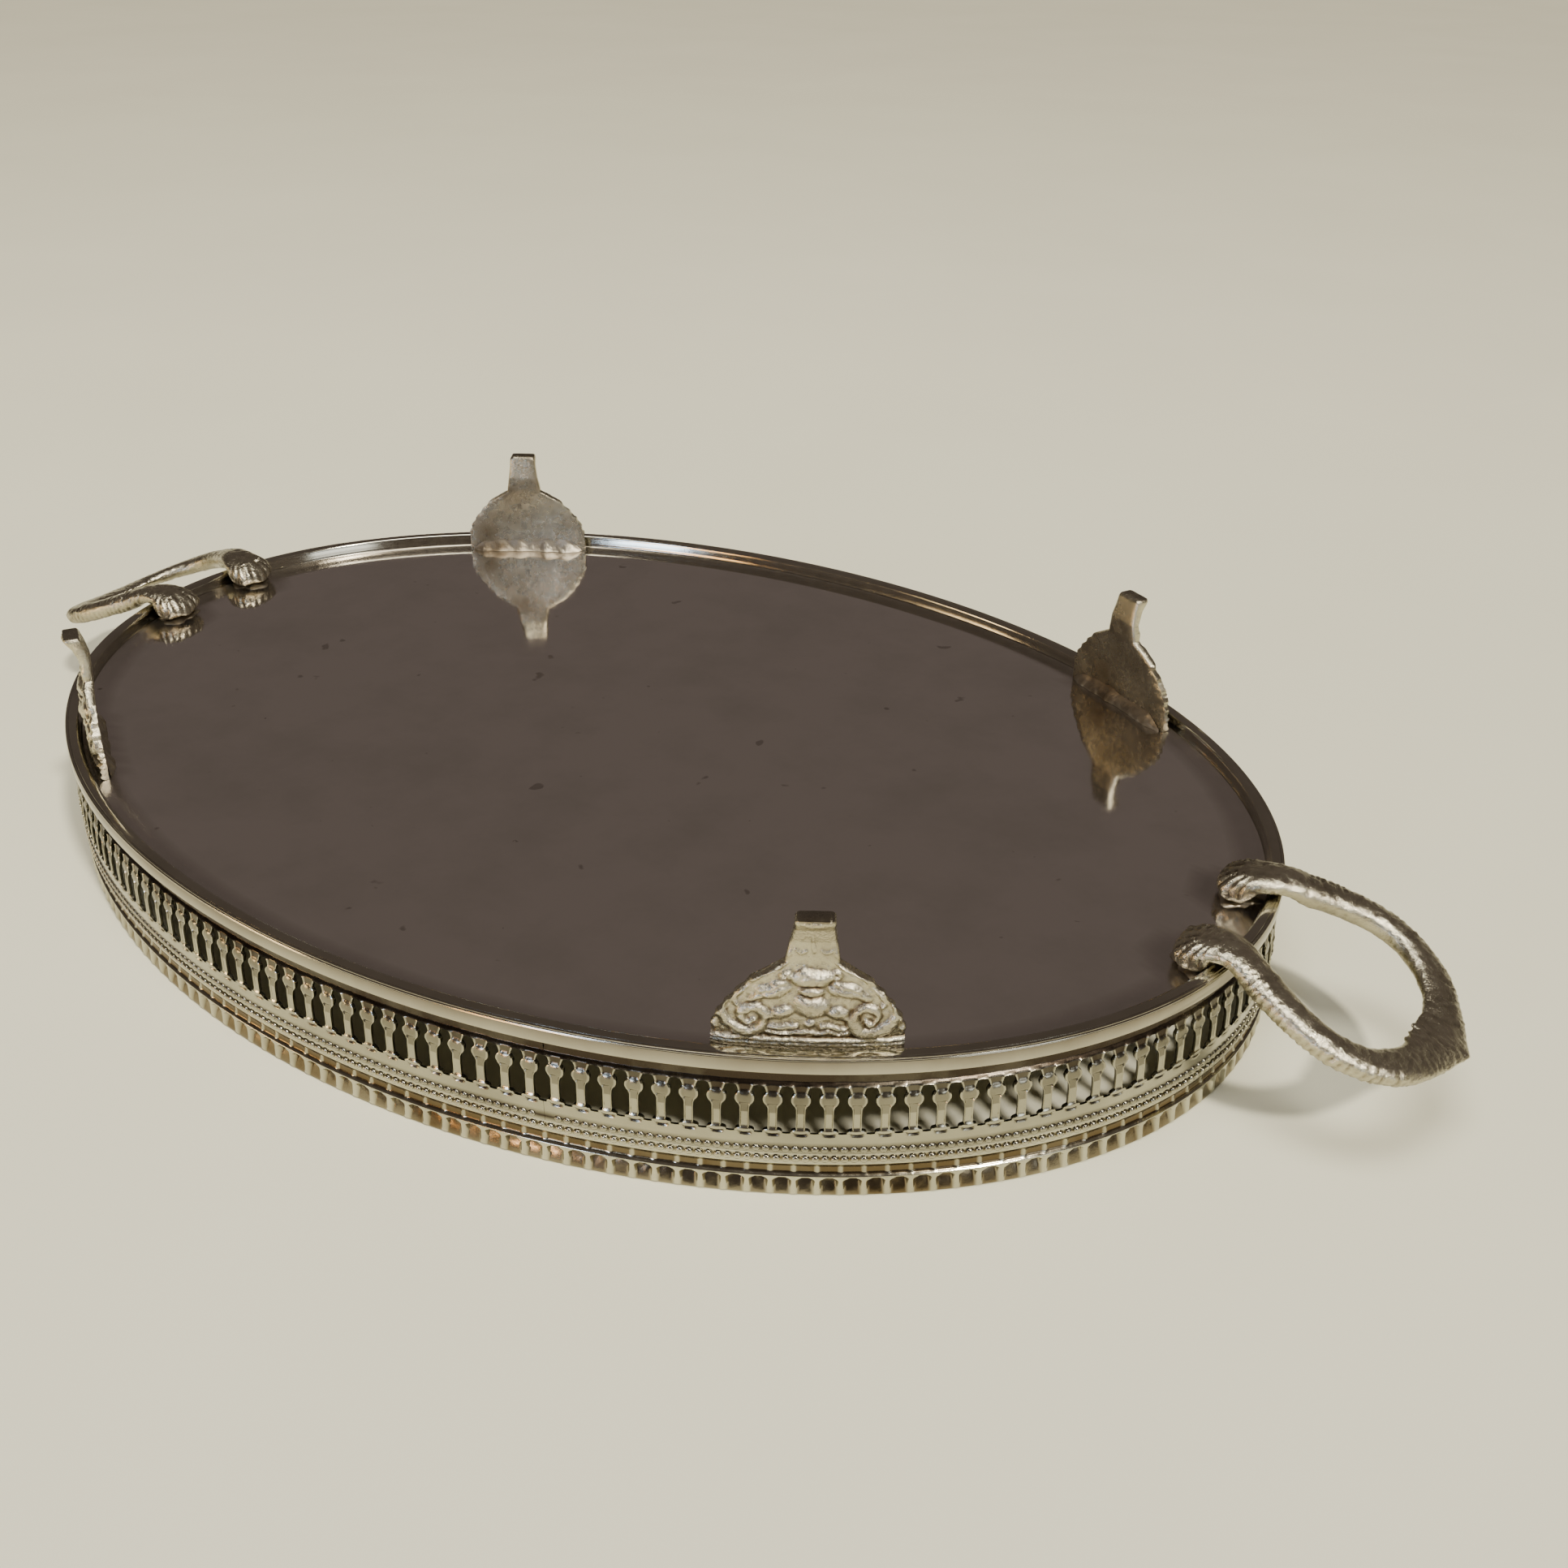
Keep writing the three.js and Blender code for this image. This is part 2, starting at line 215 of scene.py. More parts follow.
def ball(divisions):
    """Points and quads of a unit ball made from a cube."""
    steps = np.linspace(-1, 1, divisions + 1)
    u, v = np.meshgrid(steps, steps, indexing="ij")
    points, faces = [], []
    for axis in range(3):
        for side in (-1, 1):
            sheet = np.zeros((divisions + 1, divisions + 1, 3))
            sheet[..., axis] = side
            sheet[..., (axis + 1) % 3] = u
            sheet[..., (axis + 2) % 3] = v
            number = np.arange(u.size).reshape(u.shape) + len(points) * u.size
            quads = np.stack([number[:-1, :-1], number[1:, :-1], number[1:, 1:], number[:-1, 1:]], -1)
            faces.append(quads.reshape(-1, 4)[:, ::side])
            points.append(sheet.reshape(-1, 3))
    points = np.concatenate(points)
    points, merged = np.unique(points, axis=0, return_inverse=True)
    faces = merged.reshape(-1)[np.concatenate(faces)]
    return points / np.linalg.norm(points, axis=1, keepdims=True), faces


def joined(shapes):
    """One set of points, faces and shades from several."""
    points, faces, shades, start = [], [], [], 0
    for shape_points, shape_faces, shape_shades in shapes:
        points.append(shape_points)
        faces.append(shape_faces + start)
        shades.append(shape_shades)
        start += len(shape_points)
    return np.concatenate(points), np.concatenate(faces), np.concatenate(shades)


def add_piece(name, points, faces, shades, materials, slot, replaced, crease=40, triangles=(), kinds=None):
    """A visible piece in place of a CAD node. `shades` goes from 0 to 1 and darkens a point: it holds
    tarnished hollows and painted shade.
    """
    used, numbered = np.unique(np.concatenate([faces.ravel(), np.ravel(triangles)]).astype(int),
                               return_inverse=True)
    quads = numbered[: faces.size].reshape(-1, 4)
    rest = numbered[faces.size :].reshape(-1, 3)
    mesh = bpy.data.meshes.new(name)
    mesh.from_pydata((points[used] * MM).tolist(), [], quads.tolist() + rest.tolist())
    # Each point's shade goes into an attribute that darkens its colour: tarnished hollows and painted shade.
    attribute = mesh.attributes.new("tarnish_and_painted_shade", "FLOAT", "POINT")
    attribute.data.foreach_set("value", shades[used].astype(np.float32))
    for material in materials:
        mesh.materials.append(material)
    if kinds is not None:
        mesh.polygons.foreach_set("material_index", kinds.astype(np.int32))
    mesh.shade_smooth()
    mesh.set_sharp_from_angle(angle=math.radians(crease))
    mesh.update()
    piece = bpy.data.objects.new(name, mesh)
    bpy.context.scene.collection.objects.link(piece)
    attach(piece, "root")
    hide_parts(replaced)
    return piece


# ---- materials ----
def add_node(tree, kind, inputs=None, **settings):
    made = tree.nodes.new("ShaderNode" + kind)
    for key, value in settings.items():
        setattr(made, key, value)
    for key, value in (inputs or {}).items():
        if isinstance(value, bpy.types.NodeSocket):
            tree.links.new(value, made.inputs[key])
        else:
            made.inputs[key].default_value = value
    return made


def noise(tree, place, scale, detail, roughness=0.55):
    return add_node(
        tree, "TexNoise", {"Vector": place, "Scale": scale, "Detail": detail, "Roughness": roughness}
    ).outputs["Fac"]


def remap(tree, value, old_low, old_high, new_low, new_high):
    inputs = {
        "Value": value, "From Min": old_low, "From Max": old_high, "To Min": new_low, "To Max": new_high,
    }
    return add_node(tree, "MapRange", inputs).outputs["Result"]


def maths(tree, operation, first, second):
    return add_node(tree, "Math", {0: first, 1: second}, operation=operation, use_clamp=True).outputs[0]


# The sockets of a Mix node that carry colours. Its sockets for numbers come first and have the same names.
FIRST_COLOUR, SECOND_COLOUR, MIXED_COLOUR = 6, 7, 2


def mixed_colour(tree, share, first, second):
    inputs = {"Factor": share, FIRST_COLOUR: first, SECOND_COLOUR: second}
    return add_node(tree, "Mix", inputs, data_type="RGBA").outputs[MIXED_COLOUR]


def bumped(tree, normal, height, depth):
    """A surface normal that follows `height`, `depth` mm deep, on top of `normal` where there is one."""
    inputs = {"Height": height, "Strength": 1.0, "Distance": depth * MM}
    if normal:
        inputs["Normal"] = normal
    return add_node(tree, "Bump", inputs).outputs["Normal"]


def silver(name, bright, tarnish_and_shade, rough, patina, hollow, grain=0.0, grain_size=0.5, pits=0.0, spots=0.0,
           wave=0.0, dulled=0.1):
    """Silver plate: `bright` where clean, and the dark colour after it where the metal is tarnished in
    patches, as strong as `patina` says, and where the points' shades ask for it, as strong as `hollow` says;
    those shades hold tarnished hollows and painted shade. `rough` is the lowest and highest roughness,
    `grain` and `pits` the depth in mm of the skin of a casting, `spots` the strength of dark spots, `wave`
    the depth in mm of the slow ripples of a rolled sheet and `dulled` how much rougher the darkened parts are
    than the metal."""
    material = bpy.data.materials.new(name)
    material.use_nodes = True
    tree = material.node_tree
    shader = tree.nodes["Principled BSDF"]
    shader.inputs["Metallic"].default_value = 1.0
    place = add_node(tree, "TexCoord").outputs["Object"]
    tarnish_and_painted_shade = add_node(tree, "Attribute", attribute_name="tarnish_and_painted_shade").outputs["Fac"]

    patches = remap(tree, noise(tree, place, 45, 5, 0.6), 0.42, 0.72, 0, patina)
    # The colour darkens with the tarnished patches and with the shades, which carry tarnished hollows and
    # painted shade.
    dirt_and_shade = maths(tree, "ADD", patches, maths(tree, "MULTIPLY", tarnish_and_painted_shade, hollow))
    fine = noise(tree, place, 400, 4, 0.6)
    roughness = remap(tree, fine, 0.3, 0.7, rough[0], rough[1])
    roughness = maths(tree, "ADD", roughness, maths(tree, "MULTIPLY", dirt_and_shade, dulled))
    if spots:
        wide = remap(tree, noise(tree, place, 120, 2), 0.725, 0.755, 0, spots)
        small = remap(tree, noise(tree, place, 330, 3), 0.755, 0.78, 0, spots)
        both = maths(tree, "ADD", wide, small)
        dirt_and_shade = maths(tree, "ADD", dirt_and_shade, both)
        roughness = maths(tree, "ADD", roughness, maths(tree, "MULTIPLY", both, 0.25))
    tree.links.new(mixed_colour(tree, dirt_and_shade, (*bright, 1), (*tarnish_and_shade, 1)), shader.inputs["Base Color"])
    tree.links.new(roughness, shader.inputs["Roughness"])

    normal = None
    if wave:
        normal = bumped(tree, normal, noise(tree, place, 22, 1, 0.4), wave)
    if grain:
        normal = bumped(tree, normal, noise(tree, place, 1 / (grain_size * MM), 3, 0.65), grain)
    if pits:
        cells = add_node(tree, "TexVoronoi", {"Vector": place, "Scale": 900.0}).outputs["Distance"]
        normal = bumped(tree, normal, remap(tree, cells, 0.0, 0.35, 0, 1), pits)
    if normal:
        tree.links.new(normal, shader.inputs["Normal"])
    return material


MIRROR = silver("polished_silver", (0.83, 0.79, 0.74), (0.16, 0.12, 0.09), (0.035, 0.075),
                patina=0.12, hollow=0.5, spots=0.45, wave=0.14, dulled=0.4)
RIM = silver("rim_silver", (0.50, 0.475, 0.385), (0.12, 0.09, 0.06), (0.08, 0.14),
             patina=0.25, hollow=0.8, grain=0.006, grain_size=0.5)
PRESSED = silver("pressed_silver", (0.44, 0.42, 0.32), (0.05, 0.038, 0.027), (0.12, 0.22),
                 patina=0.3, hollow=1.0, grain=0.012, grain_size=0.45, pits=0.004)
BORDER = silver("fluted_silver", (0.56, 0.54, 0.42), (0.13, 0.095, 0.05), (0.06, 0.14),
                patina=0.35, hollow=0.95, grain=0.014, grain_size=0.6)
CAST = silver("cast_silver", (0.60, 0.56, 0.42), (0.105, 0.072, 0.036), (0.15, 0.27),
              patina=0.5, hollow=0.95, grain=0.13, grain_size=0.42, pits=0.02, dulled=0.12)
SOLDER = silver("soldered_seam", (0.37, 0.33, 0.255), (0.12, 0.09, 0.055), (0.30, 0.42),
                patina=0.75, hollow=0.6, grain=0.08, grain_size=0.7, pits=0.04, dulled=0.15)


# ---- polished underside and its hollow rim ----
PAN_SEGMENTS = 384
PAN_RINGS = 36
# Section of the rim, from the floor up over the top and down to the serving side: offset from the oval and
# height.
RIM_SECTION = [
    (-2.95, 31.0), (-2.78, 31.12), (-2.68, 31.4), (-2.62, 32.2), (-2.6, 33.6), (-2.5, 34.1), (-2.25, 34.38),
    (-1.85, 34.48), (-1.2, 34.5), (-0.55, 34.48), (-0.25, 34.44), (-0.15, 34.3), (-0.05, 34.3), (0.02, 34.36),
    (0.2, 34.33), (0.33, 34.3), (0.37, 34.18), (0.43, 34.15), (0.56, 34.15), (0.66, 34.05), (0.68, 33.92),
    (0.63, 33.87), (0.66, 33.8), (0.72, 33.7), (0.74, 30.85), (0.62, 30.8), (-0.1, 30.8), (-0.2, 30.9),
    (-0.2, 33.5), (-0.3, 33.6), (-1.6, 33.6), (-1.72, 33.5), (-1.95, 30.2), (-2.05, 30.1),
]
RIM_GROOVES = [11, 16, 21, 23]  # points of the section that lie in a groove or at the top of the plain band
GROOVE_SHADE = 0.7
SERVING_SIDE = 30.1
SMEAR_SHADE = 0.9  # 1 would be fully tarnished


def smears():
    """Middle and reach of each patch of floor that the soldering has dulled."""
    for end in (-1, 1):
        drift = HANDLE_DRIFT["right" if end > 0 else "left"] * end
        for side in (-1, 1):
            yield end * (HALF_LENGTH - 10), side * SHELL_ASIDE + drift, 8.0
    for along_x, side_y, _ in FOOT_PLACES.values():
        angle = math.acos(along_x / HALF_LENGTH) * side_y
        outward = Vector((math.cos(angle) / HALF_LENGTH, math.sin(angle) / HALF_WIDTH)).normalized()
        middle = Vector((along_x, HALF_WIDTH * math.sin(angle))) - outward * 7
        for step in range(-15, 16, 6):
            yield middle.x - outward.y * step, middle.y + outward.x * step, 2.5


def pan():
    """The floor plate and its hollow rim: one closed skin, ring after ring from the middle of the polished
    side outwards, over the rim and back to the middle of the serving side."""
    travel = np.arange(PAN_SEGMENTS) / PAN_SEGMENTS * OVAL_LENGTH
    edge = on_oval(travel, RIM_SECTION[0][0], 0.0)
    shares = np.linspace(1 / PAN_RINGS, 1, PAN_RINGS, endpoint=False)
    rings = []
    for share in shares:
        ring = edge * share
        ring[:, 2] = FLOOR_HEIGHT + 0.06 * lumps(ring, 38, 3) * (1 - share**6)
        rings.append(ring)
    rings += [on_oval(travel, offset, height) for offset, height in RIM_SECTION]
    for share in shares[::-1]:
        ring = edge * share
        ring[:, 2] = SERVING_SIDE
        rings.append(ring)
    middles = np.array([[0, 0, FLOOR_HEIGHT], [0, 0, SERVING_SIDE]])
    points, faces, caps = closed_tube(np.stack(rings), middles)

    # Tarnish in the corner of the rim and in its grooves, and the patches round the soldered castings.
    ring_of = np.arange(len(points)) // PAN_SEGMENTS
    corner_rings = [PAN_RINGS - 1, PAN_RINGS, PAN_RINGS + 1]
    groove_rings = [PAN_RINGS + point for point in RIM_GROOVES]
    shades = GROOVE_SHADE * np.isin(ring_of, corner_rings + groove_rings)
    for x, y, reach in smears():
        distance = np.hypot(points[:, 0] - x, points[:, 1] - y)
        smeared = SMEAR_SHADE * smooth_step(reach + 3.5, reach - 1, distance) * (points[:, 2] > SERVING_SIDE)
        shades = np.where(points[:, 2] < FLOOR_HEIGHT + 0.1, np.maximum(shades, smeared), shades)

    polished = np.zeros(len(faces) + len(caps), bool)
    polished[: PAN_RINGS * PAN_SEGMENTS] = True
    polished[len(faces) : len(faces) + PAN_SEGMENTS] = True
    add_piece("pan", points, faces[:, ::-1], shades, [RIM, MIRROR], "polished_plate", "floor_pan",
              triangles=caps[:, ::-1], kinds=polished)


# ---- pierced gallery strip ----
# Half width of an opening at each height, from the sill between two column bases to the lintel.
OPENING_SIDE = [
    (15.95, 0.84), (16.35, 0.8), (16.6, 0.88), (16.8, 1.02), (16.95, 1.25), (17.1, 1.78), (18.3, 1.83),
    (20.0, 1.84), (21.9, 1.8), (22.5, 1.55), (22.95, 1.12), (23.5, 0.88), (24.1, 0.82), (24.6, 0.93),
    (24.95, 1.22), (25.25, 1.5), (25.9, 1.36), (26.6, 1.08), (26.8, 0.95),
]
SILL, LINTEL = OPENING_SIDE[0][0], OPENING_SIDE[-1][0]
STRIP_ROWS_BELOW = [10.9, 12.0, 13.6, 14.4, 14.9, 15.1, 15.3, 15.5, 15.7, 15.83, 15.95]
STRIP_ROWS_BESIDE = [
    16.15, 16.35, 16.6, 16.7, 16.8, 16.88, 16.95, 17.1, 17.6, 18.3, 20.0, 20.75, 20.85, 21.9,
    22.2, 22.5, 22.72, 22.95, 23.2, 23.5, 23.8, 24.1, 24.35, 24.6, 24.78, 24.95, 25.1, 25.25, 25.6, 25.9,
    26.6, 26.8,
]
STRIP_ROWS_ABOVE = [26.95, 27.1, 27.3, 27.45, 27.6, 28.4, 29.4, 30.4, 33.3]
COLUMN_SHARES = np.array([-1, -0.87, -0.68, -0.36, 0, 0.36, 0.68, 0.87, 1])
COLUMN_STEP = 20.8  # height above which the face of a column gets painted shade
CRESCENT_MIDDLE, CRESCENT_RADII = (0.15, 15.45), (1.5, 0.42)
# Height and offset from the oval of the sheet, which bulges out at the sill and slopes in towards the top.
STRIP_SECTION = [
    (SILL, 0.9), (COLUMN_STEP, 0.66), (LINTEL, -0.35), (27.05, -0.5), (27.5, -1.05), (31.0, -1.1),
]
STRIP_THICKNESS = 0.45
STRIP_SEAM = 0.06
STRIP_BEAD_HEIGHT = 11.95


def column_relief(s, z, share):
    """Height of the pressed ornament of one column, s mm from its middle; share is s over its half width."""
    base = mound(s, z, (0, 16.6), (1.9, 0.8), 0.5)
    crescent = -0.45 * mound(s, z, CRESCENT_MIDDLE, CRESCENT_RADII, 1)
    capital = mound(s, z, (0, 24.1), (2.1, 1.45), 0.55)
    beside = (z > SILL) & (z <= LINTEL)
    burr = 0.2 * smooth_step(0.7, 0.87, np.abs(share)) * beside
    burr = burr + 0.1 * np.exp(-(((z - SILL) / 0.15) ** 2)) * (np.abs(s) > 2.0)
    burr = burr + 0.12 * np.exp(-(((z - LINTEL - 0.1) / 0.15) ** 2)) * (np.abs(s) > 1.7)
    return base + crescent + capital + burr


def beads(start, count, offset, height, radii):
    """A row of beads pressed into a band; radii along the band, outwards and upwards."""
    template, template_faces = ball(3)
    travel = start + (np.arange(count) + 0.5) * BEAD_PITCH
    point, outward = oval_frame(travel)
    along = np.stack([-outward[:, 1], outward[:, 0]], -1)
    flat = (
        point[:, None]
        + outward[:, None] * (offset + radii[1] * template[None, :, 1:2])
        + along[:, None] * (-radii[0] * template[None, :, 0:1])
    )
    upright = np.broadcast_to(height + radii[2] * template[:, 2], flat.shape[:2])
    points = np.concatenate([flat, upright[..., None]], -1).reshape(-1, 3)
    starts = np.arange(count)[:, None, None] * len(template)
    faces = (template_faces[None] + starts).reshape(-1, 4)
    # The top half of each bead gets painted shade, standing for a dark reflection.
    shades = np.tile(np.where(template[:, 2] > 0.1, 0.4, 0.0), count)
    return points, faces, shades


def gallery_strip(name, first_slot, replaced):
    """Half of the pierced strip. Each row of its grid has one point in the middle of each opening and a fixed
    number across each column, and the quads between the two are left out where the strip is open."""
    heights = np.array(STRIP_ROWS_BELOW + STRIP_ROWS_BESIDE + STRIP_ROWS_ABOVE)
    rows = len(heights)
    opening = np.interp(heights, *np.array(OPENING_SIDE).T)
    column_half = SLOT_PITCH / 2 - opening
    columns_each = len(COLUMN_SHARES) + 1
    count = SLOT_COUNT // 2
    start = (FIRST_SLOT + first_slot / SLOT_COUNT) * OVAL_LENGTH
    column_middle = (np.arange(count) + 0.5) * SLOT_PITCH

    # Distance of every grid point from the middle of its column, and the same as a share of the half width.
    inside = np.repeat(COLUMN_SHARES[None, None, :] * column_half[:, None, None], count, axis=1)
    gap_middle = np.full((rows, count, 1), -SLOT_PITCH / 2)
    s = np.concatenate([gap_middle, inside], -1)
    share = np.concatenate([gap_middle * 0, COLUMN_SHARES[None, None, :] + 0 * inside], -1)
    travel = (s + column_middle[None, :, None]).reshape(rows, -1)
    s = np.concatenate([s.reshape(rows, -1), np.full((rows, 1), -SLOT_PITCH / 2)], 1)
    share = np.concatenate([share.reshape(rows, -1), np.zeros((rows, 1))], 1)
    travel = np.concatenate([travel, np.full((rows, 1), count * SLOT_PITCH)], 1)
    travel = start + np.clip(travel, STRIP_SEAM / 2, count * SLOT_PITCH - STRIP_SEAM / 2)
    z = heights[:, None] + 0 * travel

    sheet = np.interp(z, *np.array(STRIP_SECTION).T)
    relief = column_relief(s, z, share)
    rough = 0.2 * lumps(np.stack([travel, z * 0, z], -1), 0.9, 7) * smooth_step(27.2, 28.2, z)
    outer = on_oval(travel, sheet + relief + rough, z)
    inner = on_oval(travel, sheet - STRIP_THICKNESS, z)
    kept = np.ones((rows - 1, travel.shape[1] - 1), bool)
    sill_row = len(STRIP_ROWS_BELOW) - 1
    lintel_row = sill_row + len(STRIP_ROWS_BESIDE)
    place_in_column = np.arange(kept.shape[1]) % columns_each
    in_opening = (place_in_column == 0) | (place_in_column == columns_each - 1)
    kept[sill_row:lintel_row, in_opening] = False

    # Painted shadow in the crescent groove under each column base.
    hollow = np.clip(mound(s, z, CRESCENT_MIDDLE, CRESCENT_RADII, 1.3), 0, 1)
    # Painted shade, standing for a dark reflection, on each column's face above COLUMN_STEP and more above
    # the capitals; the edges of the openings stay bright.
    painted_column_shade = 0.45 * (z > COLUMN_STEP) + 0.35 * smooth_step(25.0, 25.6, z)
    painted_column_shade = painted_column_shade * (1 - smooth_step(0.68, 0.87, np.abs(share)) * (z <= LINTEL))
    hollow = np.maximum(hollow, painted_column_shade)
    # Painted shade on the rough band under the rim's overhang.
    hollow = np.maximum(hollow, 0.9 * smooth_step(26.85, 27.0, z))
    # Painted shade on the band behind the row of beads.
    hollow = np.maximum(hollow, np.abs(z - STRIP_BEAD_HEIGHT) < 0.6)
    points, faces = plate(outer, inner, kept)
    # The inner face gets painted shade, since the inside of the tray lies in shade.
    shades = np.concatenate([hollow.ravel(), np.full(hollow.size, 0.8)])
    row = beads(start + BEAD_PITCH, BEAD_COUNT // 2 - 2, 0.8, STRIP_BEAD_HEIGHT, (0.92, 0.62, 0.8))
    add_piece(name, *joined([(points, faces, shades), row]), [PRESSED], "pressed_plate", replaced)


# ---- fluted border with its bead row ----
# Height and offset of the outer face between the flutes, from the lip that the tray lies on to the top.
BORDER_SECTION = [
    (0.0, 1.1), (0.12, 1.35), (0.35, 1.55), (0.7, 1.58), (1.1, 1.58), (1.6, 1.57), (2.2, 1.54),
    (2.8, 1.5), (3.3, 1.47), (3.7, 1.44), (3.95, 1.42), (4.15, 1.41), (4.35, 1.4), (4.52, 1.4),
    (4.68, 1.42), (4.82, 1.5), (4.95, 1.54), (5.08, 1.46), (5.25, 1.15), (5.55, 0.82), (6.0, 0.64),
    (6.5, 0.58), (7.0, 0.62), (7.5, 0.78), (7.85, 1.02), (8.05, 1.12), (8.25, 1.1), (8.45, 0.96),
    (9.4, 0.94), (10.3, 0.94), (10.6, 0.8),
]
BORDER_INSIDE = -0.2  # offset of the inner face
BORDER_BEAD_HEIGHT = 9.45
FLUTE_STEPS = 14  # columns of the grid for each flute
FLUTE_HALF = 0.41  # half width of a scoop as a share of the pitch
FLUTE_DEPTH = 1.5
FLUTE_TOP, FLUTE_ARCH = 4.62, 0.85  # height of a scoop's top, and how far that drops to its sides
RIB_HEIGHT = 0.22
COVE_RIB_HEIGHT = 0.16


def border(name, first_share, replaced):
    """Half of the border: a sheet scooped out flute by flute, with ribs between the flutes, a cove above them
    darkened with painted shade and a row of beads on top."""
    columns = FLUTE_COUNT // 2 * FLUTE_STEPS
    start = first_share * OVAL_LENGTH
    travel = start + np.linspace(SEAM_GAP / 2, OVAL_LENGTH / 2 - SEAM_GAP / 2, columns + 1)
    heights, offsets = np.array(BORDER_SECTION).T
    travel, z = np.meshgrid(travel, heights)
    phase = np.abs(np.mod(travel / OVAL_LENGTH * FLUTE_COUNT, 1) - 0.5)
    scoop = smooth_step(FLUTE_HALF, FLUTE_HALF - 0.12, phase)
    top = FLUTE_TOP - FLUTE_ARCH * (phase / FLUTE_HALF) ** 2
    window = np.clip((z - 0.2) / 3.5, 0, 1) * (1 - smooth_step(top - 0.45, top, z))
    beside_scoops = smooth_step(0.3, 0.8, z) * (1 - smooth_step(3.9, 4.6, z))
    rib = RIB_HEIGHT * smooth_step(0.36, 0.5, phase) * beside_scoops
    flute = rib - RIB_HEIGHT - FLUTE_DEPTH * scoop * window
    across_cove = smooth_step(5.2, 5.8, z) * (1 - smooth_step(7.2, 7.8, z))
    cove = COVE_RIB_HEIGHT * smooth_step(0.36, 0.46, phase) * across_cove
    ripple = 0.09 * lumps(np.stack([travel, z * 0, z], -1), 1.3, 11) * window
    outer = on_oval(travel, offsets[:, None] + flute + cove + ripple, z)
    inner = on_oval(travel, BORDER_INSIDE, z)
    # Painted shade in the scoops, standing for their dark reflections.
    hollow = 0.8 * scoop * (z < top) * smooth_step(0.1, 0.4, z)
    # Painted shade in the cove, lighter on its ribs.
    in_cove = smooth_step(5.1, 5.4, z) * (1 - smooth_step(7.4, 7.9, z))
    hollow = np.maximum(hollow, in_cove * (1 - 0.7 * smooth_step(0.36, 0.44, phase)))
    # Painted shade on the band behind the row of beads.
    hollow = np.maximum(hollow, np.abs(z - BORDER_BEAD_HEIGHT) < 0.7)
    points, faces = plate(outer, inner)
    # The inner face gets painted shade.
    shades = np.concatenate([hollow.ravel(), np.full(hollow.size, 0.4)])
    row = beads(start, BEAD_COUNT // 2, 0.88, BORDER_BEAD_HEIGHT, (0.9, 0.6, 0.8))
    add_piece(name, *joined([(points, faces, shades), row]), [BORDER], "pressed_plate", replaced, crease=50)


# ---- cast feet ----
FOOT_BEND = 167.0  # radius of the plate, which follows the curve of the rim
FOOT_HEIGHT = 31.4
# Height above the floor, half width, how far the plate's middle lies inside the oval, thickness.
FOOT_ROWS = np.array([
    (0.06, 18.6, 5.7, 2.4), (6.5, 18.4, 5.9, 2.4), (9.5, 17.0, 6.1, 2.4), (12.5, 14.8, 6.4, 2.4),
    (15.5, 12.2, 6.8, 2.5), (17.5, 10.0, 7.1, 2.6), (19.0, 7.0, 7.4, 2.7), (20.6, 5.2, 7.7, 2.8),
    (25.0, 4.4, 8.0, 3.0), (28.5, 3.9, 7.1, 3.6), (30.2, 3.85, 6.35, 4.3), (31.4, 3.8, 6.05, 4.7),
])
# Distance from the middle of the tray along its length, side of the tray, how far the tip leans sideways.
FOOT_PLACES = {
    "front_right": (103.8, -1, -1.2),
    "front_left": (-114.6, -1, 0.0),
    "back_left": (-104.8, 1, 0.4),
    "back_right": (104.0, 1, 0.0),
}
FOOT_COLUMNS = 127
FOOT_ROW_STEP = 0.3
SOLDER_HALF = 17.6  # half length of the solder behind a foot

# Ornament of a foot, by distance from its middle line and height above the floor.
VOLUTE = [
    (14.3, 14.6), (16.2, 12.2), (16.6, 9.2), (15.4, 6.8), (13.2, 5.4), (11.0, 5.1), (9.0, 6.3), (8.4, 8.4),
    (9.4, 10.3), (11.2, 10.9), (12.7, 9.9), (12.8, 8.3), (11.7, 7.4), (10.7, 8.0),
]
# On both halves: stations of each ridge, its half widths, its height.
FOOT_RIDGES = [
    (VOLUTE, [0.6, 1.25, 1.25, 0.95, 0.75, 0.6], 1.05),
    ([(13.6, 13.6), (14.2, 11.8), (13.6, 10.9)], [0.4, 0.5], 0.7),
    ([(2.6, 6.7), (5.2, 6.6), (7.4, 6.3)], [0.5, 0.6, 0.3], 0.8),
    ([(4.1, 17.2), (4.5, 18.3), (5.4, 18.2), (5.5, 17.4), (4.9, 17.3)], [0.45, 0.4, 0.35], 0.8),
    ([(1.3, 22.9), (2.2, 22.4), (3.5, 23.2)], [0.3, 0.4, 0.3], 0.35),
]
# On both halves: middle of each leaf, its half length and half width, its height, its tilt in degrees.
FOOT_LEAVES = [
    ((6.9, 14.6), (3.6, 1.7), 1.35, -14),
    ((9.4, 13.3), (2.6, 1.0), 0.9, -20),
    ((5.2, 9.9), (2.5, 1.5), 1.2, -8),
    ((7.2, 8.8), (1.9, 0.8), 0.8, -15),
]
# On the middle line: middle of each boss, its half width and half height, how far it stands out.
FOOT_BOSSES = [
    ((0.2, 7.2), (1.2, 0.9), 0.9),
    ((0.2, 17.3), (4.6, 2.1), 1.6),
    ((0.2, 14.7), (3.1, 1.5), 1.35),
    ((0.2, 11.5), (3.4, 2.7), 1.75),
]
# Height, half height and how far it stands out of each moulding along the bottom.
FOOT_MOULDINGS = [(0.9, 0.75, 1.0), (2.3, 0.65, 0.8), (3.55, 0.6, 0.95)]
FOOT_RELIEF = 0.85  # how much of those heights the cast metal shows


